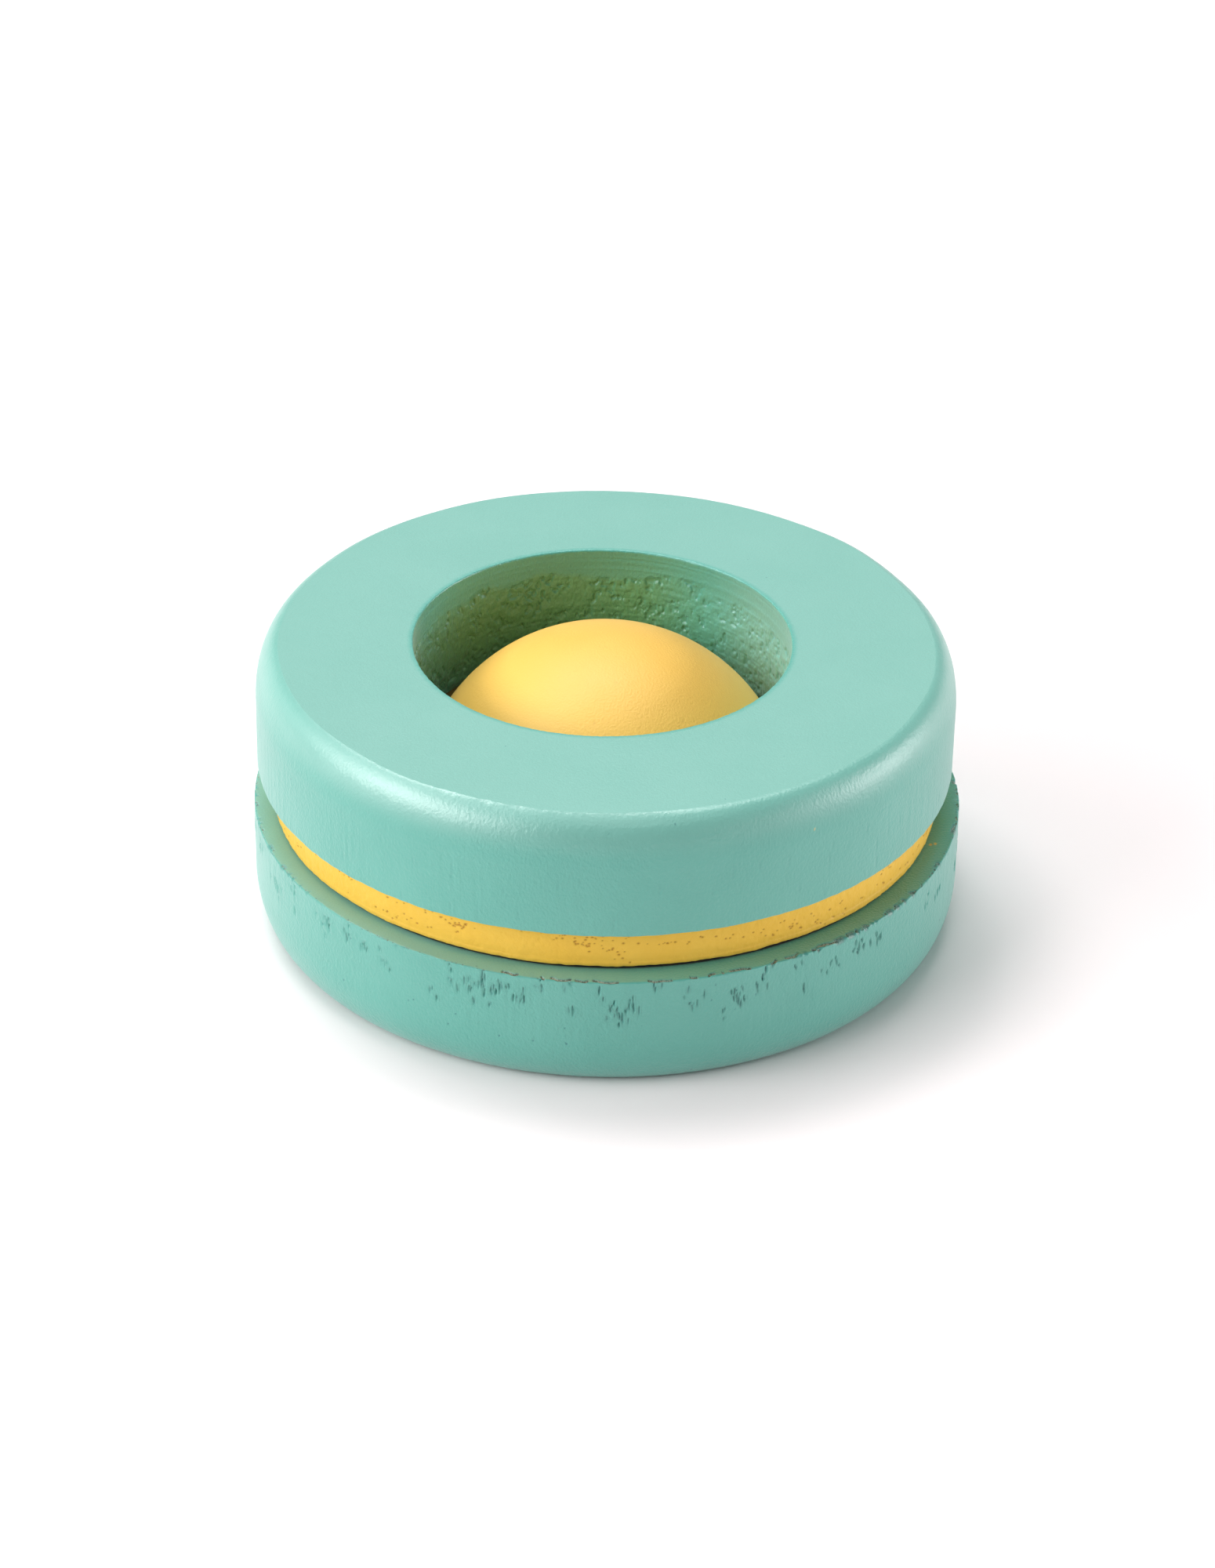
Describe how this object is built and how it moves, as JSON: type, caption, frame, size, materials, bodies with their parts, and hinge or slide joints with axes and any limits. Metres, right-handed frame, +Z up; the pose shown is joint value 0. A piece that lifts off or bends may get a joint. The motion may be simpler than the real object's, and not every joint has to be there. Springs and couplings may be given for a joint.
{
  "type": "toy cookie",
  "caption": "Wooden play-food sandwich cookie: a ring biscuit over a thin filling disc on a solid biscuit, with a domed centre showing through the ring.",
  "frame": {"origin": "middle of the underside, on the surface that the cookie lies on", "axes": "+Z up along the axis that the layers are turned about; the picture looks along +Y and down, with +X to the right"},
  "size_m": [0.051, 0.051, 0.021],
  "materials": {
    "teal_paint": "wood under satin pale teal paint, grain and small pits showing through",
    "yellow_paint": "wood under satin pale yellow paint, end-grain pores showing on the disc's side",
    "bare_wood": "unpainted beech"
  },
  "bodies": {
    "root": {"bottom_biscuit": "teal_paint", "filling_disc": "yellow_paint", "filling_dome": "yellow_paint", "top_biscuit": "teal_paint", "centre_dowel": "bare_wood"}
  },
  "joints": []
}
